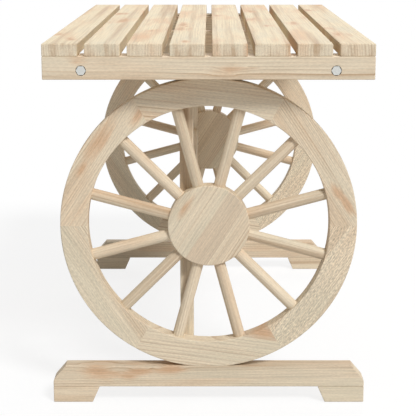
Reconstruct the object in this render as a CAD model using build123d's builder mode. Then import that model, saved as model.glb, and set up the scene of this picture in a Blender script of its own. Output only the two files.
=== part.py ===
"""Wagon wheel table: a slatted top on two flat-sided wooden wagon wheels.

Millimetres.  The origin is on the floor under the middle of the table.
+Z is up, the front wheel faces -Y and the slats run along Y.
The rear end frame mirrors the front one.
"""
import os
from math import cos, radians, sin, sqrt

from build123d import *

# ---- driving dimensions ----
top_length = 900.0
top_width = 492.0
slat_count = 8
slat_width = 52.5
slat_thickness = 18.5

wheel_diameter = 460.0
rim_width = 42.5
wheel_flat = 2.0
hub_diameter = 127.0
frame_thickness = 27.0
felloe_count = 6
spoke_count = 12
spoke_diameter = 18.0
spoke_socket = 15.0

foot_height = 26.0
foot_bottom = 62.0
foot_top = 73.5
base_length = 494.0
base_height = 35.0
base_chamfer_x = 20.0
base_chamfer_z = 23.5
base_corner = 14.0

bearer_length = 440.0
bearer_height = 37.0
bearer_gap = 2.5
rail_height = 34.5
rail_depth = 45.0
batten_height = 25.0
batten_depth = 35.0
batten_inset = 6.0

upright_offset = 34.5
upright_width = 21.0
upright_depth = 35.0
stretcher_height = 60.0

bolt_offset = 188.5
bolt_diameter = 8.0
bolt_flats = 13.0
bolt_head = 5.3
bolt_recess_depth = 5.6
bolt_recess = 15.6
nut_height = 6.5
bolt_stickout = 1.5
screw_diameter = 4.0
screw_head = 8.0
screw_head_depth = 2.5
screw_tip = 0.4
slat_bite = 10.5
frame_screw_offset = 15.0
dowel_diameter = 8.0
dowel_length = 40.0
edge = 1.5

# ---- heights ----
base_z = foot_height
wheel_z0 = base_z + base_height
wheel_radius = wheel_diameter / 2
rim_inner = wheel_radius - rim_width
rim_middle = wheel_radius - rim_width / 2
hub_radius = hub_diameter / 2
wheel_z = wheel_z0 + wheel_radius - wheel_flat
wheel_z1 = wheel_z + wheel_radius - wheel_flat
bearer_z0 = wheel_z1
bearer_z1 = bearer_z0 + bearer_height
slat_z0 = bearer_z1 + bearer_gap
rail_z0 = slat_z0 - rail_height
bolt_z = bearer_z0 + bearer_height / 2

# ---- depths, front frame (negative Y) ----
end_y = -top_length / 2
frame_y0 = end_y + rail_depth
frame_y1 = frame_y0 + frame_thickness
frame_mid = (frame_y0 + frame_y1) / 2
upright_y1 = frame_y1 + upright_depth
upright_mid = (frame_y1 + upright_y1) / 2
upright_x = -upright_offset
rail_mid = end_y + rail_depth / 2

# ---- slats across the width ----
slat_gap = (top_width - slat_count * slat_width) / (slat_count - 1)
slat_pitch = slat_width + slat_gap
slat_x = [-top_width / 2 + slat_width / 2 + i * slat_pitch for i in range(slat_count)]
side_signs = (-1, 1)
foot_screw_inset = (22.0, 50.0)
foot_screw_length = 40.0
foot_screw_z = 1.0
frame_screw_length = 60.0
upright_screw_length = 55.0
upright_screw_z = (
    bolt_z,
    wheel_z1 - rim_width / 2 + wheel_flat,
    wheel_z,
    wheel_z0 + rim_width / 2 - wheel_flat,
    base_z + base_height / 2,
)
rail_slat_screw = rail_height + slat_bite
batten_slat_screw = batten_height + slat_bite
stretcher_dowel_z = (wheel_z - stretcher_height / 4, wheel_z + stretcher_height / 4)

os.makedirs("parts", exist_ok=True)


def screw(origin, direction, length):
    """Countersunk wood screw: head face at origin, pointed shank along direction."""
    shaft = screw_diameter / 2
    top = screw_head / 2
    tip = length - screw_diameter
    plane = Plane(origin=origin, z_dir=direction)
    with BuildPart() as body:
        with BuildSketch(Plane.XZ):
            with BuildLine():
                Polyline(
                    (0, 0),
                    (top, 0),
                    (shaft, screw_head_depth),
                    (shaft, tip),
                    (screw_tip, length),
                    (0, length),
                    close=True,
                )
            make_face()
        revolve(axis=Axis.Z)
    return body.part.moved(plane.location)


def screws(points, direction, length):
    """A set of equal screws."""
    return [screw(point, direction, length) for point in points]


def rod(origin, direction, diameter, length):
    """Plain cylinder that starts at origin and runs along direction."""
    plane = Plane(origin=origin, z_dir=direction)
    with BuildPart() as body:
        with BuildSketch(plane):
            Circle(diameter / 2)
        extrude(amount=length)
    return body.part


def hexagon(origin, direction, flats, height):
    """Hexagonal prism that starts at origin and runs along direction."""
    plane = Plane(origin=origin, x_dir=(1, 0, 0), z_dir=direction)
    with BuildPart() as body:
        with BuildSketch(plane):
            RegularPolygon(flats / sqrt(3), 6)
        extrude(amount=height)
    return body.part


def rear(shape):
    """Mirror a front shape to the rear end."""
    return mirror(shape, about=Plane.XZ)


def save(shape, name):
    """Label a node and write its file."""
    shape.label = name
    export_step(shape, f"parts/{name}.step")


def save_pair(shape, name):
    """Write the front node and its mirrored rear twin."""
    save(shape, f"front_{name}")
    save(rear(shape), f"rear_{name}")


# ---- fasteners, placed once and reused as cutters ----
slat_front_points = [(x, rail_mid, rail_z0) for x in slat_x]
slat_rear_points = [(x, -rail_mid, rail_z0) for x in slat_x]
slat_batten_points = [(x, 0, slat_z0 - batten_height) for x in slat_x]
front_rail_screws = screws(slat_front_points, (0, 0, 1), rail_slat_screw)
rear_rail_screws = screws(slat_rear_points, (0, 0, 1), rail_slat_screw)
batten_screws = screws(slat_batten_points, (0, 0, 1), batten_slat_screw)

upright_points = [(upright_x, upright_y1, z) for z in upright_screw_z]
front_upright_screws = screws(upright_points, (0, -1, 0), upright_screw_length)
frame_screw_x = [side * frame_screw_offset for side in side_signs]
bearer_points = [(x, frame_mid, bearer_z1) for x in frame_screw_x]
front_bearer_screws = screws(bearer_points, (0, 0, -1), frame_screw_length)
base_points = [(x, frame_mid, base_z) for x in frame_screw_x]
front_base_screws = screws(base_points, (0, 0, 1), frame_screw_length)
foot_screw_x = [side * (base_length / 2 - d) for side in side_signs for d in foot_screw_inset]
foot_points = [(x, frame_mid, foot_screw_z) for x in foot_screw_x]
front_foot_screws = screws(foot_points, (0, 0, 1), foot_screw_length)
foot_screw_wells = [
    rod((x, frame_mid, 0), (0, 0, 1), screw_head, foot_screw_z) for x in foot_screw_x
]

bolt_seat = end_y + bolt_recess_depth
nut_seat = frame_y1
bolt_shank = nut_seat + nut_height + bolt_stickout - bolt_seat
bolt_x = [side * bolt_offset for side in side_signs]
front_bolts = []
front_nuts = []
front_bolt_shanks = []
front_bolt_recesses = []
for x in bolt_x:
    seat = (x, bolt_seat, bolt_z)
    shank = rod(seat, (0, 1, 0), bolt_diameter, bolt_shank)
    head = hexagon(seat, (0, -1, 0), bolt_flats, bolt_head)
    nut = hexagon((x, nut_seat, bolt_z), (0, 1, 0), bolt_flats, nut_height)
    front_bolts.append(head + shank)
    front_nuts.append(nut - shank)
    front_bolt_shanks.append(shank)
    front_bolt_recesses.append(rod((x, end_y, bolt_z), (0, 1, 0), bolt_recess, bolt_recess_depth))

stretcher_dowel_y = (upright_y1 - dowel_length / 2, -upright_y1 - dowel_length / 2)
stretcher_dowel_list = [
    rod((upright_x, y, z), (0, 1, 0), dowel_diameter, dowel_length)
    for y in stretcher_dowel_y
    for z in stretcher_dowel_z
]

# ---- top ----
for i in range(slat_count):
    with BuildPart() as slat:
        with BuildSketch(Plane.XY.offset(slat_z0)):
            with Locations((slat_x[i], 0)):
                Rectangle(slat_width, top_length)
        extrude(amount=slat_thickness)
        fillet(slat.edges(), edge)
    cutters = [front_rail_screws[i], rear_rail_screws[i], batten_screws[i]]
    save(slat.part - cutters, f"slat_{i + 1}")

with BuildPart() as end_rail:
    with BuildSketch(Plane.XY.offset(rail_z0)):
        with Locations((0, rail_mid)):
            Rectangle(top_width, rail_depth)
    extrude(amount=rail_height)
    fillet(end_rail.edges(), edge)
save_pair(
    end_rail.part - front_rail_screws - front_bolt_shanks - front_bolt_recesses,
    "end_rail",
)

with BuildPart() as centre_batten:
    with BuildSketch(Plane.XY.offset(slat_z0 - batten_height)):
        Rectangle(top_width - 2 * batten_inset, batten_depth)
    extrude(amount=batten_height)
    fillet(centre_batten.edges(), edge)
save(centre_batten.part - batten_screws, "centre_batten")

# ---- end frames ----
with BuildPart() as bearer:
    with BuildSketch(Plane.XY.offset(bearer_z0)):
        with Locations((0, frame_mid)):
            Rectangle(bearer_length, frame_thickness)
    extrude(amount=bearer_height)
    fillet(bearer.edges(), edge)
save_pair(
    bearer.part - front_bolt_shanks - front_bearer_screws - front_upright_screws,
    "bearer",
)

half = base_length / 2
with BuildPart() as base_beam:
    with BuildSketch(Plane.XZ.offset(-frame_y1)) as beam_profile:
        with BuildLine():
            Polyline(
                (-half, base_z),
                (half, base_z),
                (half, wheel_z0 - base_chamfer_z),
                (half - base_chamfer_x, wheel_z0),
                (-half + base_chamfer_x, wheel_z0),
                (-half, wheel_z0 - base_chamfer_z),
                close=True,
            )
        make_face()
        fillet(beam_profile.vertices().group_by(Axis.Y)[1], base_corner)
    extrude(amount=frame_thickness)
    fillet(base_beam.edges(), edge)
save_pair(
    base_beam.part - front_base_screws - front_foot_screws - front_upright_screws,
    "base_beam",
)

for side in side_signs:
    with BuildPart() as foot:
        with BuildSketch(Plane.XZ.offset(-frame_y1)):
            with BuildLine():
                Polyline(
                    (side * half, 0),
                    (side * half, base_z),
                    (side * (half - foot_top), base_z),
                    (side * (half - foot_bottom), 0),
                    close=True,
                )
            make_face()
        extrude(amount=frame_thickness)
        fillet(foot.edges(), edge)
    side_name = "left" if side < 0 else "right"
    save_pair(foot.part - front_foot_screws - foot_screw_wells, f"{side_name}_foot")

with BuildPart() as upright:
    with BuildSketch(Plane.XY.offset(base_z)):
        with Locations((upright_x, upright_mid)):
            Rectangle(upright_width, upright_depth)
    extrude(amount=bearer_z1 - base_z)
    fillet(upright.edges(), edge)
save_pair(upright.part - front_upright_screws - stretcher_dowel_list, "upright")

with BuildPart() as stretcher:
    with BuildSketch(Plane.XZ.offset(-upright_y1)):
        with Locations((upright_x, wheel_z)):
            Rectangle(upright_width, stretcher_height)
    extrude(amount=2 * upright_y1)
    fillet(stretcher.edges().filter_by(Axis.Y), edge)
save(stretcher.part - stretcher_dowel_list, "stretcher")

# ---- wheels ----
spoke_start = hub_radius - spoke_socket
spoke_length = rim_inner + spoke_socket - spoke_start
spoke_list = []
for i in range(spoke_count):
    angle = radians((i + 0.5) * 360.0 / spoke_count)
    aim = (sin(angle), 0, cos(angle))
    foot_point = (spoke_start * aim[0], frame_mid, wheel_z + spoke_start * aim[2])
    spoke_list.append(rod(foot_point, aim, spoke_diameter, spoke_length))

felloe_dowel_list = []
felloe_step = 360.0 / felloe_count
for i in range(felloe_count):
    angle = radians((i + 0.5) * felloe_step)
    across = (cos(angle), 0, -sin(angle))
    middle_x = rim_middle * sin(angle) - across[0] * dowel_length / 2
    middle_z = wheel_z + rim_middle * cos(angle) - across[2] * dowel_length / 2
    start = (middle_x, frame_mid, middle_z)
    felloe_dowel_list.append(rod(start, across, dowel_diameter, dowel_length))

with BuildPart() as hub:
    with BuildSketch(Plane.XZ.offset(-frame_y1)):
        with Locations((0, wheel_z)):
            Circle(hub_radius)
    extrude(amount=frame_thickness)
    fillet(hub.edges().filter_by(GeomType.CIRCLE), edge)
save_pair(hub.part - spoke_list - front_upright_screws, "hub")

rim_cutters = spoke_list + felloe_dowel_list + front_upright_screws
rim_cutters = rim_cutters + front_bearer_screws + front_base_screws
reach = 2 * wheel_radius
for i in range(felloe_count):
    a0 = radians((i - 0.5) * felloe_step)
    a1 = radians((i + 0.5) * felloe_step)
    am = radians(i * felloe_step)
    with BuildPart() as felloe:
        with BuildSketch(Plane.XZ.offset(-frame_y1)):
            with Locations((0, wheel_z)):
                Circle(wheel_radius)
                Circle(rim_inner, mode=Mode.SUBTRACT)
            with BuildLine():
                Polyline(
                    (0, wheel_z),
                    (reach * sin(a0), wheel_z + reach * cos(a0)),
                    (reach * sin(am), wheel_z + reach * cos(am)),
                    (reach * sin(a1), wheel_z + reach * cos(a1)),
                    close=True,
                )
            make_face(mode=Mode.INTERSECT)
            with Locations((0, (wheel_z0 + wheel_z1) / 2)):
                Rectangle(2 * reach, wheel_z1 - wheel_z0, mode=Mode.INTERSECT)
        extrude(amount=frame_thickness)
        fillet(felloe.edges().filter_by(GeomType.CIRCLE), edge)
    save_pair(felloe.part - rim_cutters, f"felloe_{i + 1}")

# ---- nodes of repeated pieces ----
save_pair(Compound(children=spoke_list), "spokes")
save_pair(Compound(children=felloe_dowel_list), "felloe_dowels")
save(Compound(children=stretcher_dowel_list), "stretcher_dowels")

rear_bolts = [rear(item) for item in front_bolts]
rear_nuts = [rear(item) for item in front_nuts]
save(Compound(children=front_bolts + rear_bolts), "rail_bolts")
save(Compound(children=front_nuts + rear_nuts), "rail_nuts")
all_slat_screws = front_rail_screws + rear_rail_screws + batten_screws
save(Compound(children=all_slat_screws), "slat_screws")
rear_upright_screws = [rear(item) for item in front_upright_screws]
save(Compound(children=front_upright_screws + rear_upright_screws), "upright_screws")
rear_bearer_screws = [rear(item) for item in front_bearer_screws]
save(Compound(children=front_bearer_screws + rear_bearer_screws), "bearer_screws")
rear_base_screws = [rear(item) for item in front_base_screws]
save(Compound(children=front_base_screws + rear_base_screws), "base_screws")
rear_foot_screws = [rear(item) for item in front_foot_screws]
save(Compound(children=front_foot_screws + rear_foot_screws), "foot_screws")
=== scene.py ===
"""Wagon wheel table in unfinished fir: finishes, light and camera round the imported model."""
import math

import bpy
from mathutils import Matrix, Vector

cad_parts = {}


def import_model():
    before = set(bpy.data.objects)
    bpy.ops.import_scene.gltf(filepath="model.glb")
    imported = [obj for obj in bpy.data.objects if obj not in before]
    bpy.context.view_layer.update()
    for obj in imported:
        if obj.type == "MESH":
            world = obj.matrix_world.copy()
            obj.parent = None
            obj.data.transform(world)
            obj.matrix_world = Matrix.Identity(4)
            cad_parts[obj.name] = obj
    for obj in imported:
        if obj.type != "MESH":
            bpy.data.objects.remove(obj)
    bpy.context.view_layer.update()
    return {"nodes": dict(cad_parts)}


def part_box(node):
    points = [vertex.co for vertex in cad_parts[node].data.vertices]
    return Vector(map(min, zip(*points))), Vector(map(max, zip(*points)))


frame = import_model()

# ---- axes and counts of the table ----
ALONG_X = (1, 0, 0)
ALONG_Y = (0, 1, 0)
ALONG_Z = (0, 0, 1)
SLATS = 8
FELLOES = 6
SPOKES = 12
ENDS = ("front", "rear")
HANDS = ("left", "right")

# ---- colours in plain light, sRGB 0 to 255 ----
FIR_PALE = (230, 215, 190)
FIR_HONEY = (231, 215, 184)
FIR_LATE = (186, 156, 124)
FIR_WARM = (217, 180, 144)
FIR_COOL = (211, 202, 179)
FIR_STAVE = (193, 170, 146)
FIR_KNOT = (180, 130, 92)
ZINC = (212, 213, 209)
SCREW_ZINC = (176, 170, 156)

# ---- fir pattern: cycles a metre along the grain, across it and through the board ----
DRIFT_SCALE = (1.6, 8.0, 8.0)
FADE_SCALE = (3.0, 24.0, 24.0)
STREAK_SCALE = (1.1, 52.0, 18.0)
PATCH_SCALE = (3.6, 17.0, 9.0)
FIBRE_SCALE = (14.0, 500.0, 500.0)
FLECK_SCALE = (210.0, 600.0, 600.0)
RAGGED_SCALE = (14.0, 90.0, 90.0)

# ---- growth rings: spacing and drift in metres, unevenness in rings and its cycles a metre of radius ----
RING_SPACING = 0.0042
RING_DRIFT = 0.020
RING_UNEVEN = 2.0
UNEVEN_SCALE = (60.0, 1.0, 1.0)
RING_FAINTEST = 0.25
LATEWOOD_SHARPNESS = 2.6
LATEWOOD_END = 0.88
FADE_RANGE = (0.28, 0.62)
FADE_LEAST = 0.25

# ---- knots and blushes: cell and push in metres, the knots' reach in cells, the rest shares and powers ----
KNOT_CELL = 0.085
KNOT_REACH = 0.20
KNOT_SMALLEST = 0.3
KNOT_PUSH = 0.004
KNOT_CORE = 0.60
CORE_SHARPNESS = 3.0
BLUSH_SHARPNESS = 3.5
BLUSH_TINT = 0.66
SPOT_LENGTHEN = 0.40
SPOT_RAGGED = 1.7

# ---- tints: the noise levels between which each sets in, and its strength where it is fixed ----
WARM_RANGE = (0.47, 0.72)
COOL_RANGE = (0.50, 0.30)
COOL_TINT = 0.50
STREAK_RANGE = (0.47, 0.74)
STAVE_TINT = 0.50

# ---- end grain: how squarely a face meets the grain, and how much its rings gain in contrast ----
END_GRAIN_RANGE = (0.75, 0.95)
END_GRAIN_GAIN = 0.7

# ---- fir surface, its relief in metres ----
FIBRE_CONTRAST = 0.40
FIR_SPECULAR = 0.12
FIR_ROUGHNESS = 0.56
FIBRE_ROUGHNESS = 0.16
FIBRE_HEIGHT = 0.6
LATEWOOD_HEIGHT = 0.5
FIR_BUMP = 0.35
FIR_RELIEF = 0.0004

# ---- staves and spokes: how far apart in the log they are cut and how far from the pith, in metres ----
STAVE_SPREAD = 5.0
STAVE_PITH = 0.06
STAVE_PITH_SPREAD = 0.08
SPOKE_SPREAD = 9.0
SPOKE_PITH = (0.012, 0.020)
SPOKE_PITH_SPREAD = 0.05
SPOKE_SEEDS = (5.0, 45.0)

# ---- staves' ring spacing, as a share of the board's: the widest, and how far it falls ----
STAVE_RING_WIDEST = 1.1
STAVE_RING_SPREAD = -0.45

# ---- plated steel: scratches in cycles a metre, their relief in metres ----
METALLIC = 0.75
MOTTLE_CONTRAST = 0.22
MOTTLE_DARKEST = 0.87
SCRATCH_SCALE = (2600.0, 240.0, 2600.0)
SCRATCH_ROUGHNESS = 0.18
SCRATCH_BUMP = 0.2
SCRATCH_RELIEF = 0.0001

# ---- each kind of board's looks, where they differ from those of fir() ----
SLAT_LOOK = {"knots": 0.12, "contrast": 0.65, "streaks": 0.85, "depth": 0.42, "pale": FIR_HONEY}
SLAT_WARMTH = (0.70, 0.80, 0.90)
RAIL_LOOK = {"knots": 0.1, "warm": 0.35, "ring": 0.0030, "contrast": 1.5, "streaks": 0.5}
BEARER_LOOK = {"knots": 0.2}
BASE_LOOK = {"knots": 0.1, "stave": 0.030, "warm": 0.6, "contrast": 1.3, "streaks": 0.4}
FOOT_LOOK = {"ring": 0.0032, "warm": 0.2}
UPRIGHT_LOOK = {"warm": 0.6}
STRETCHER_LOOK = {"knots": 0.3}
HUB_LOOK = {"stave": 0.034, "ring": 0.0038, "warm": 0.15, "contrast": 1.1, "streaks": 0.5, "flecks": 0.35}
SPOKE_LOOK = {"warm": 0.6}
DOWEL_LOOK = {"ring": 0.002, "contrast": 0.3}
FELLOE_LOOK = {"knots": 0.1, "streaks": 0.30}
FELLOE_LOOKS = (
    {"ring": 0.0040, "warm": 0.45, "flecks": 0.35, "contrast": 1.4},
    {"ring": 0.0028, "warm": 0.30, "flecks": 0.45, "contrast": 1.3},
    {"ring": 0.0026, "warm": 0.35, "flecks": 1.30, "contrast": 1.2},
    {"ring": 0.0058, "warm": 0.10, "flecks": 0.35, "contrast": 1.4},
    {"ring": 0.0032, "warm": 0.30, "flecks": 0.50, "contrast": 1.1},
    {"ring": 0.0034, "warm": 0.50, "flecks": 0.40, "contrast": 0.8},
)
FELLOE_SLOPES = (6.0, -3.0, 4.0, 8.0, -4.0, 3.0)
GLUED_FELLOE = 3
GLUED_STAVE = 0.060
HUB_GRAIN_ANGLE = 57.0

# ---- where each board's middle lies in its log, in metres: along it, across and through from the pith ----
SLAT_CUT = (0.4, 0.120, 0.0)
SLAT_STEP = 3.1
SLAT_PITH_STEP = 0.017
RAIL_CUT = (7.3, 0.040, 0.042)
BEARER_CUT = (17.9, 0.060, 0.030)
BASE_CUTS = ((33.6, 0.0635, 0.040), (39.7, 0.0635, 0.040))
FOOT_CUT = (37.7, 0.070, 0.018)
FOOT_STEP = 3.0
FOOT_END_STEP = 7.0
UPRIGHT_CUT = (47.5, 0.048, 0.035)
END_STEP = 5.0
FELLOE_CUT = (57.1, 0.065, 0.040)
FELLOE_STEP = 3.3
FELLOE_END_STEP = 23.0
FELLOE_PITH_STEP = 0.009
FELLOE_FACE_STEP = -0.01
GLUED_CUT = (69.9, 0.0831, 0.020)
# the rear hub's draw is chosen so that its staves come out pale: painted light that brightens the hub
# standing in the shade under the table
HUB_CUTS = ((112.0, 0.0366, 0.060), (99.0, 0.0366, 0.060))
RIM_DOWEL_CUT = (3.0, 0.02, 0.02)
BATTEN_CUT = (111.0, 0.045, 0.030)
STRETCHER_CUT = (121.0, 0.060, 0.025)
STRETCHER_DOWEL_CUT = (131.0, 0.020, 0.020)

# ---- blushes of the boards that show most: X, Y, Z and radius, in metres ----
SLAT_BLUSHES = {
    1: [(-0.236, -0.29, 0.575, 0.020), (-0.214, -0.36, 0.575, 0.012)],
    2: [(-0.156, 0.00, 0.575, 0.036), (-0.170, 0.17, 0.575, 0.022)],
    3: [(-0.094, -0.22, 0.575, 0.016)],
    4: [(-0.050, -0.19, 0.575, 0.032), (-0.042, -0.09, 0.575, 0.026), (-0.034, -0.41, 0.575, 0.014)],
    5: [(0.012, 0.12, 0.575, 0.020)],
    6: [(0.078, 0.02, 0.575, 0.028), (0.083, 0.24, 0.575, 0.020), (0.102, -0.12, 0.575, 0.014)],
    7: [(0.150, -0.06, 0.575, 0.020)],
    8: [(0.204, -0.29, 0.575, 0.032), (0.198, -0.17, 0.575, 0.022), (0.205, 0.27, 0.575, 0.022)],
}
RAIL_BLUSHES = [(0.029, -0.45, 0.535, 0.015), (-0.195, -0.45, 0.548, 0.010)]
BASE_BLUSHES = [
    (-0.113, -0.43, 0.052, 0.013), (-0.175, -0.43, 0.050, 0.018),
    (-0.060, -0.43, 0.055, 0.014), (-0.125, -0.43, 0.042, 0.010),
]
FELLOE_BLUSHES = {
    2: [(0.200, -0.42, 0.340, 0.010), (0.213, -0.42, 0.322, 0.012)],
    4: [(0.090, -0.42, 0.116, 0.016)],
    6: [(-0.168, -0.42, 0.420, 0.020), (-0.195, -0.42, 0.378, 0.010), (-0.105, -0.42, 0.465, 0.014)],
}
HUB_BLUSHES = [(-0.038, -0.43, 0.318, 0.012)]

# ---- light: where each lamp shines from, its level, and its softness in degrees ----
LAMPS = {
    "key": ((0.65, -1.0, 1.16), 2.25, 14.0),
    "overhead": ((0.1, -0.15, 1.0), 0.40, 40.0),
    "back": ((0.1, 1.0, 0.6), 0.8, 30.0),
}
WORLD_LEVEL = 0.25

# ---- floor: size and drop in metres, albedo for light and for the camera, share of its shading seen ----
FLOOR_SIZE = 60.0
FLOOR_DROP = 0.0005
FLOOR_ALBEDO = 0.70
FLOOR_SEEN = 1.0
FLOOR_SHADE = 0.18

# ---- camera, at the photograph's viewpoint: metres, degrees and pixels of its frame ----
PHOTO_SIZE = 416
CAMERA_PLACE = (0.0018, -2.2839, 0.7483)
CAMERA_PITCH = 11.95
CAMERA_FOCAL_PX = 1248.1
CAMERA_SHIFT = (-0.0044, -0.05)
SENSOR = 36.0


def linear(colour):
    """RGBA in linear light from an sRGB colour of 0 to 255 that isn't near black."""
    return (*[((c / 255.0 + 0.055) / 1.055) ** 2.4 for c in colour], 1.0)


class Graph:
    """Adds and links the nodes of a material or of the world."""

    def __init__(self, owner):
        owner.use_nodes = True
        self.nodes = owner.node_tree.nodes
        self.links = owner.node_tree.links

    def add(self, kind, inputs=(), **settings):
        """A new node, with its settings and with a value or a link on each of the inputs."""
        node = self.nodes.new(kind)
        for key, value in settings.items():
            setattr(node, key, value)
        for key, value in dict(inputs).items():
            self.feed(node.inputs[key], value)
        return node

    def feed(self, socket, value):
        """Links another node's output to the socket, or sets the socket's value."""
        if isinstance(value, bpy.types.NodeSocket):
            self.links.new(value, socket)
        else:
            socket.default_value = value

    def math(self, operation, *values, clamp=False):
        inputs = dict(enumerate(values))
        return self.add("ShaderNodeMath", inputs, operation=operation, use_clamp=clamp).outputs[0]

    def plus(self, first, second):
        return self.math("ADD", first, second)

    def minus(self, first, second):
        return self.math("SUBTRACT", first, second)

    def times(self, first, second):
        return self.math("MULTIPLY", first, second)

    def line(self, value, gain, offset):
        return self.plus(self.times(value, gain), offset)

    def length(self, first, second):
        """The long side of a right triangle."""
        return self.math("SQRT", self.plus(self.times(first, first), self.times(second, second)))

    def smooth(self, value, low, high):
        """0 at low, 1 at high, smooth between."""
        inputs = {"Value": value, "From Min": low, "From Max": high}
        node = self.add("ShaderNodeMapRange", inputs, interpolation_type="SMOOTHSTEP")
        return node.outputs["Result"]

    def mix(self, factor, first, second):
        """A colour between two, each a socket or an sRGB colour of 0 to 255."""
        ends = [linear(colour) if isinstance(colour, tuple) else colour for colour in (first, second)]
        inputs = {"Factor": factor, "A": ends[0], "B": ends[1]}
        return self.add("ShaderNodeMix", inputs, data_type="RGBA").outputs["Result"]

    def split(self, vector):
        node = self.add("ShaderNodeSeparateXYZ", {"Vector": vector})
        return node.outputs["X"], node.outputs["Y"], node.outputs["Z"]

    def join(self, x, y, z):
        return self.add("ShaderNodeCombineXYZ", {"X": x, "Y": y, "Z": z}).outputs["Vector"]

    def grey(self, value):
        return self.join(value, value, value)

    def vector_math(self, operation, first, second):
        return self.add("ShaderNodeVectorMath", {0: first, 1: second}, operation=operation)

    def scaled(self, vector, scale):
        """A vector or colour multiplied part by part."""
        return self.vector_math("MULTIPLY", vector, scale).outputs["Vector"]

    def noise(self, vector, scale, detail=2.0, roughness=0.5):
        """Noise of about 0 to 1; scale is in cycles a metre on each axis of the vector."""
        vector = self.scaled(vector, scale)
        inputs = {"Vector": vector, "Scale": 1.0, "Detail": detail, "Roughness": roughness}
        return self.add("ShaderNodeTexNoise", inputs).outputs["Fac"]

    def random(self, value):
        node = self.add("ShaderNodeTexWhiteNoise", {"W": value}, noise_dimensions="1D")
        return node.outputs["Value"]

    def place(self):
        return self.add("ShaderNodeTexCoord").outputs["Object"]

    def normal(self):
        return self.add("ShaderNodeTexCoord").outputs["Normal"]


def further(cut, along, across=0.0, through=0.0):
    """A cut moved on in its log."""
    return cut[0] + along, cut[1] + across, cut[2] + through


def grain_axes(along, across):
    """Rotation from the table's axes to along the grain, across it and through the board."""
    a = Vector(along).normalized()
    c = a.cross(Vector(across)).normalized()
    return Matrix((a, c.cross(a), c))


def board_vector(graph, turn, shift):
    """Place in the log of each point of a board."""
    inputs = {"Vector": graph.place(), "Location": shift, "Rotation": turn.to_euler("XYZ")}
    return graph.add("ShaderNodeMapping", inputs).outputs["Vector"]


def spoke_vector(graph, centre, seed):
    """Place in the log of each point of a wheel's spokes: each runs along its own radius."""
    x, y, z = graph.split(graph.place())
    dx = graph.minus(x, centre[0])
    dz = graph.minus(z, centre[2])
    step = 2.0 * math.pi / SPOKES
    angle = graph.math("ARCTAN2", dx, dz)
    index = graph.math("FLOOR", graph.math("DIVIDE", angle, step))
    turn = graph.minus(angle, graph.times(graph.plus(index, 0.5), step))
    reach = graph.length(dx, dz)
    chance = graph.random(graph.plus(index, seed))
    along = graph.times(reach, graph.math("COSINE", turn))
    across = graph.times(reach, graph.math("SINE", turn))
    return graph.join(
        graph.plus(along, graph.times(chance, SPOKE_SPREAD)),
        graph.plus(across, graph.line(chance, SPOKE_PITH_SPREAD, SPOKE_PITH[0])),
        graph.plus(graph.minus(y, centre[1]), SPOKE_PITH[1]),
    )


def staved_vector(graph, vector, width, seed):
    """Place in the log for a blank glued from staves, each cut from another board, and their tones."""
    along, across, through = graph.split(vector)
    index = graph.math("FLOOR", graph.math("DIVIDE", across, width))
    tone = graph.random(graph.plus(index, seed))
    along = graph.plus(along, graph.times(tone, STAVE_SPREAD))
    across = graph.plus(across, graph.line(tone, STAVE_PITH_SPREAD, STAVE_PITH))
    return graph.join(along, across, through), tone


def flat_place(graph, vector):
    """Place in the board's face, shortened along the grain so that spots come out long."""
    along, across, _ = graph.split(vector)
    return graph.join(graph.times(along, SPOT_LENGTHEN), across, 0.0)


def chosen_blushes(graph, vector, spots):
    """1 in the middle of each chosen spot and 0 outside it; a spot is its place and its radius."""
    flat = flat_place(graph, vector)
    ragged = graph.minus(graph.noise(vector, RAGGED_SCALE), 0.5)
    found = 0.0
    for place, radius in spots:
        spot = (place[0] * SPOT_LENGTHEN, place[1], 0.0)
        gap = graph.vector_math("DISTANCE", flat, spot).outputs["Value"]
        gap = graph.plus(gap, graph.times(ragged, radius * SPOT_RAGGED))
        found = graph.math("MAXIMUM", found, graph.smooth(gap, radius, 0.0))
    return found


def scattered_knots(graph, vector, share):
    """1 in the middle of each pin knot and 0 outside it; share of the cells hold one."""
    inputs = {"Vector": flat_place(graph, vector), "Scale": 1.0 / KNOT_CELL}
    cells = graph.add("ShaderNodeTexVoronoi", inputs, voronoi_dimensions="2D")
    chance, size, _ = graph.split(cells.outputs["Color"])
    here = graph.math("LESS_THAN", chance, share)
    reach = graph.times(graph.line(size, 1.0 - KNOT_SMALLEST, KNOT_SMALLEST), KNOT_REACH)
    return graph.times(graph.smooth(cells.outputs["Distance"], reach, 0.0), here)


def growth_rings(graph, vector, push, ring):
    """Dark latewood lines, 0 to about 1: rings round the pith, pushed aside by knots."""
    _, across, through = graph.split(vector)
    drift = graph.times(graph.minus(graph.noise(vector, DRIFT_SCALE), 0.5), RING_DRIFT)
    radius = graph.plus(graph.plus(graph.length(across, through), drift), push)
    uneven = graph.noise(graph.join(radius, 0.0, 0.0), UNEVEN_SCALE, detail=1.0)
    turns = graph.plus(graph.math("DIVIDE", radius, ring), graph.times(uneven, RING_UNEVEN))
    phase = graph.math("FRACT", turns)
    late = graph.times(graph.math("POWER", phase, LATEWOOD_SHARPNESS), graph.smooth(phase, 1.0, LATEWOOD_END))
    strength = graph.plus(graph.random(graph.math("FLOOR", turns)), RING_FAINTEST)
    fade = graph.smooth(graph.noise(vector, FADE_SCALE, detail=1.0), *FADE_RANGE)
    fade = graph.line(fade, 1.0 - FADE_LEAST, FADE_LEAST)
    return graph.times(graph.times(late, strength), fade)


def blemishes(graph, vector, spots, knots, depth):
    """How near each point is to a knot or blush, and how much of the knot colour it has."""
    blush = chosen_blushes(graph, vector, spots)
    knot = scattered_knots(graph, vector, knots) if knots > 0.0 else 0.0
    knot_core = graph.times(graph.math("POWER", knot, CORE_SHARPNESS), KNOT_CORE)
    blush_core = graph.times(graph.math("POWER", blush, BLUSH_SHARPNESS), depth)
    return graph.math("MAXIMUM", blush, knot), graph.math("MAXIMUM", knot_core, blush_core)


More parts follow.
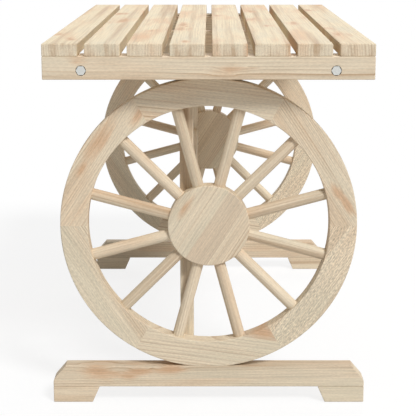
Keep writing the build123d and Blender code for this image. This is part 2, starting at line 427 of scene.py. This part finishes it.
def end_grain(graph, along):
    """1 on the faces that the grain meets end on, 0 on the others."""
    facing = graph.vector_math("DOT_PRODUCT", graph.normal(), along).outputs["Value"]
    return graph.smooth(graph.math("ABSOLUTE", facing), *END_GRAIN_RANGE)


def tinted(graph, vector, colour, warm, streaks):
    """The colour with warmer and cooler places and with long dark streaks."""
    streak = graph.noise(vector, STREAK_SCALE, detail=3.0, roughness=0.6)
    patch = graph.noise(vector, PATCH_SCALE, detail=3.0, roughness=0.55)
    colour = graph.mix(graph.times(graph.smooth(patch, *WARM_RANGE), warm), colour, FIR_WARM)
    colour = graph.mix(graph.times(graph.smooth(patch, *COOL_RANGE), COOL_TINT), colour, FIR_COOL)
    return graph.mix(graph.times(graph.smooth(streak, *STREAK_RANGE), streaks), colour, FIR_LATE)


def fir(
    name, vector_of, along=None, spots=(), seed=0.0, stave=None, knots=0.0, depth=0.24,
    pale=FIR_PALE, ring=RING_SPACING, contrast=0.8, warm=0.5, streaks=0.8, flecks=0.25,
):
    """Planed fir: rings in depth, so that faces, edges and ends agree, with fibres, blushes and knots.

    vector_of gives each point's place in the log, stave is the width of glued staves and seed their
    draw, ring the ring spacing, knots the share of cells with a pin knot, and depth how dark the
    blushes' middles are.
    """
    material = bpy.data.materials.new(name)
    graph = Graph(material)
    vector = vector_of(graph)
    near, core = blemishes(graph, vector, spots, knots, depth)
    if stave:
        vector, tone = staved_vector(graph, vector, stave, seed)
        ring = graph.times(graph.line(tone, STAVE_RING_SPREAD, STAVE_RING_WIDEST), ring)
    late = growth_rings(graph, vector, graph.times(near, KNOT_PUSH), ring)
    if along is not None:
        ends = end_grain(graph, along)
        contrast = graph.times(graph.line(ends, END_GRAIN_GAIN, 1.0), contrast)
        pale = graph.mix(ends, pale, FIR_PALE)

    colour = graph.mix(graph.math("MULTIPLY", late, contrast, clamp=True), pale, FIR_LATE)
    colour = tinted(graph, vector, colour, warm, streaks)
    if stave:
        colour = graph.mix(graph.times(tone, STAVE_TINT), colour, FIR_STAVE)
    colour = graph.mix(graph.times(near, BLUSH_TINT), colour, FIR_WARM)
    colour = graph.mix(core, colour, FIR_KNOT)

    fibre = graph.noise(vector, FIBRE_SCALE)
    fleck = graph.noise(vector, FLECK_SCALE, detail=1.0)
    shade = graph.line(fibre, FIBRE_CONTRAST, 1.0 - FIBRE_CONTRAST / 2)
    shade = graph.times(shade, graph.line(fleck, flecks, 1.0 - flecks / 2))
    height = graph.plus(graph.times(fibre, FIBRE_HEIGHT), graph.times(late, LATEWOOD_HEIGHT))
    bump = {"Height": height, "Strength": FIR_BUMP, "Distance": FIR_RELIEF}
    rough = graph.line(fibre, FIBRE_ROUGHNESS, FIR_ROUGHNESS)
    shader = finish(graph, graph.scaled(colour, graph.grey(shade)), rough, bump)
    shader.inputs["Specular IOR Level"].default_value = FIR_SPECULAR
    return material


def steel(name, colour, roughness, spangle):
    """Plated steel: mottled by its spangles, spangle of them a metre, and finely scratched."""
    material = bpy.data.materials.new(name)
    graph = Graph(material)
    place = graph.place()
    mottle = graph.noise(place, (spangle, spangle, spangle), detail=3.0)
    scratch = graph.noise(place, SCRATCH_SCALE, detail=1.0)
    shade = graph.line(mottle, MOTTLE_CONTRAST, MOTTLE_DARKEST)
    bump = {"Height": scratch, "Strength": SCRATCH_BUMP, "Distance": SCRATCH_RELIEF}
    rough = graph.line(scratch, SCRATCH_ROUGHNESS, roughness)
    shader = finish(graph, graph.scaled(linear(colour)[:3], graph.grey(shade)), rough, bump)
    shader.inputs["Metallic"].default_value = METALLIC
    return material


def finish(graph, colour, rough, bump):
    """Feeds a material's shader and returns it."""
    shader = graph.nodes["Principled BSDF"]
    graph.feed(shader.inputs["Base Color"], colour)
    graph.feed(shader.inputs["Roughness"], rough)
    graph.feed(shader.inputs["Normal"], graph.add("ShaderNodeBump", bump).outputs["Normal"])
    return shader


def dress(node, material):
    """Gives a CAD node its finish."""
    target = frame["nodes"][node]
    target.data.materials.clear()
    target.data.materials.append(material)


def middle(node):
    low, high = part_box(node)
    return (Vector(low) + Vector(high)) / 2


def board(node, along, across, cut, blushes=(), **looks):
    """Dresses a board: its grain runs along one axis, and cut is its middle's place in its log."""
    turn = grain_axes(along, across)
    shift = Vector(cut) - turn @ middle(node)
    spots = [(turn @ Vector(blush[:3]) + shift, blush[3]) for blush in blushes]

    def place(graph):
        return board_vector(graph, turn, shift)

    dress(node, fir(f"fir_{node}", place, along=along, spots=spots, seed=cut[0], **looks))


def dress_slats():
    """The slats' pith lies to one side and the other in turn, so their ends show upright rings."""
    for i in range(SLATS):
        along, pith, face = further(SLAT_CUT, SLAT_STEP * i, SLAT_PITH_STEP * (i % 3))
        cut = (along, pith if i % 2 else -pith, face)
        blushes = SLAT_BLUSHES.get(i + 1, ())
        board(f"slat_{i + 1}", ALONG_Y, ALONG_X, cut, blushes, warm=SLAT_WARMTH[i % 3], **SLAT_LOOK)


def dress_end(k):
    """The straight boards of the front end, for k = 0, or of the rear end, for k = 1."""
    end = ENDS[k]
    front = k == 0
    step = END_STEP * k
    board(
        f"{end}_end_rail", ALONG_X, ALONG_Z, further(RAIL_CUT, step), RAIL_BLUSHES if front else (),
        **RAIL_LOOK,
    )
    board(f"{end}_bearer", ALONG_X, ALONG_Z, further(BEARER_CUT, step), **BEARER_LOOK)
    board(f"{end}_upright", ALONG_Z, ALONG_X, further(UPRIGHT_CUT, step), **UPRIGHT_LOOK)
    board(f"{end}_base_beam", ALONG_X, ALONG_Z, BASE_CUTS[k], BASE_BLUSHES if front else (), **BASE_LOOK)
    for j, hand in enumerate(HANDS):
        cut = further(FOOT_CUT, FOOT_STEP * j + FOOT_END_STEP * k)
        board(f"{end}_{hand}_foot", ALONG_X, ALONG_Z, cut, **FOOT_LOOK)


def dress_rim(k):
    """The felloes and their dowels; the front wheel's bottom felloe is glued from staves."""
    end = ENDS[k]
    front = k == 0
    for i in range(FELLOES):
        lean = 2 * math.pi * i / FELLOES + math.radians(FELLOE_SLOPES[i])
        tangent = (math.cos(lean), 0, -math.sin(lean))
        radial = (math.sin(lean), 0, math.cos(lean))
        cut = further(
            FELLOE_CUT, FELLOE_STEP * i + FELLOE_END_STEP * k,
            FELLOE_PITH_STEP * ((i * 2 + k) % 5), FELLOE_FACE_STEP * (i % 3),
        )
        glued = front and i == GLUED_FELLOE
        blushes = FELLOE_BLUSHES.get(i + 1, ()) if front else ()
        board(
            f"{end}_felloe_{i + 1}", tangent, radial, GLUED_CUT if glued else cut, blushes,
            stave=GLUED_STAVE if glued else None, **FELLOE_LOOK, **FELLOE_LOOKS[i],
        )
    board(f"{end}_felloe_dowels", ALONG_X, ALONG_Z, RIM_DOWEL_CUT, **DOWEL_LOOK)


def dress_hub_and_spokes(k):
    """The hub's grain leans, as in the photograph, and each spoke's runs along the spoke."""
    end = ENDS[k]
    lean = math.radians(HUB_GRAIN_ANGLE)
    along = (math.cos(lean), 0, math.sin(lean))
    across = (math.sin(lean), 0, -math.cos(lean))
    board(f"{end}_hub", along, across, HUB_CUTS[k], HUB_BLUSHES if k == 0 else (), **HUB_LOOK)

    def place(graph):
        return spoke_vector(graph, middle(f"{end}_hub"), SPOKE_SEEDS[k])

    dress(f"{end}_spokes", fir(f"fir_{end}_spokes", place, **SPOKE_LOOK))


def dress_middle():
    """What joins the two ends."""
    board("centre_batten", ALONG_X, ALONG_Z, BATTEN_CUT, **BEARER_LOOK)
    board("stretcher", ALONG_Y, ALONG_Z, STRETCHER_CUT, **STRETCHER_LOOK)
    board("stretcher_dowels", ALONG_Y, ALONG_Z, STRETCHER_DOWEL_CUT, **DOWEL_LOOK)


def dress_fasteners():
    bright = steel("bright_zinc", ZINC, roughness=0.34, spangle=420.0)
    for node in ("rail_bolts", "rail_nuts"):
        dress(node, bright)
    yellow = steel("screw_zinc", SCREW_ZINC, roughness=0.38, spangle=600.0)
    for kind in ("slat", "upright", "bearer", "base", "foot"):
        dress(f"{kind}_screws", yellow)


def seen(graph):
    """1 for rays from the camera or by way of a reflection or glass, 0 for light."""
    path = graph.add("ShaderNodeLightPath").outputs
    mirror = graph.math("MAXIMUM", path["Is Glossy Ray"], path["Is Transmission Ray"])
    return graph.math("MAXIMUM", path["Is Camera Ray"], mirror)


def floor():
    """A pale floor that reads as white to the camera and keeps the table's shadow."""
    bpy.ops.mesh.primitive_plane_add(size=FLOOR_SIZE, location=(0, 0, -FLOOR_DROP))
    plane = bpy.context.object
    plane.name = "floor"
    material = bpy.data.materials.new("floor")
    graph = Graph(material)
    graph.nodes.remove(graph.nodes["Principled BSDF"])
    shown = seen(graph)
    albedo = graph.line(shown, FLOOR_SEEN - FLOOR_ALBEDO, FLOOR_ALBEDO)
    diffuse = graph.add("ShaderNodeBsdfDiffuse", {"Color": graph.grey(albedo)})
    white = graph.add("ShaderNodeEmission", {"Color": (1, 1, 1, 1), "Strength": 1.0})
    shares = {0: graph.times(shown, 1.0 - FLOOR_SHADE), 1: diffuse.outputs[0], 2: white.outputs[0]}
    blend = graph.add("ShaderNodeMixShader", shares)
    graph.feed(graph.nodes["Material Output"].inputs["Surface"], blend.outputs[0])
    plane.data.materials.append(material)


def world():
    """White to the camera, a plain level of sky light to the table."""
    sky = bpy.data.worlds.new("studio")
    graph = Graph(sky)
    background = graph.nodes["Background"]
    background.inputs["Color"].default_value = (1, 1, 1, 1)
    graph.feed(background.inputs["Strength"], graph.line(seen(graph), 1.0 - WORLD_LEVEL, WORLD_LEVEL))
    bpy.context.scene.world = sky


def sun(name, source, level, softness):
    """Soft directional light from the direction of source."""
    lamp = bpy.data.lights.new(name, "SUN")
    lamp.energy = level
    lamp.angle = math.radians(softness)
    holder = bpy.data.objects.new(name, lamp)
    bpy.context.collection.objects.link(holder)
    holder.rotation_mode = "QUATERNION"
    holder.rotation_quaternion = Vector(source).to_track_quat("Z", "Y")


def camera():
    """The photograph's viewpoint, with a small shift."""
    data = bpy.data.cameras.new("camera")
    data.sensor_width = SENSOR
    data.lens = CAMERA_FOCAL_PX / PHOTO_SIZE * SENSOR
    data.shift_x, data.shift_y = CAMERA_SHIFT
    holder = bpy.data.objects.new("camera", data)
    bpy.context.collection.objects.link(holder)
    holder.location = CAMERA_PLACE
    holder.rotation_euler = (math.radians(90.0 - CAMERA_PITCH), 0, 0)
    bpy.context.scene.camera = holder


dress_slats()
for k in range(len(ENDS)):
    dress_end(k)
    dress_rim(k)
    dress_hub_and_spokes(k)
dress_middle()
dress_fasteners()

floor()
world()
for name, (source, level, softness) in LAMPS.items():
    sun(name, source, level, softness)
camera()
bpy.context.scene.view_settings.view_transform = "Standard"
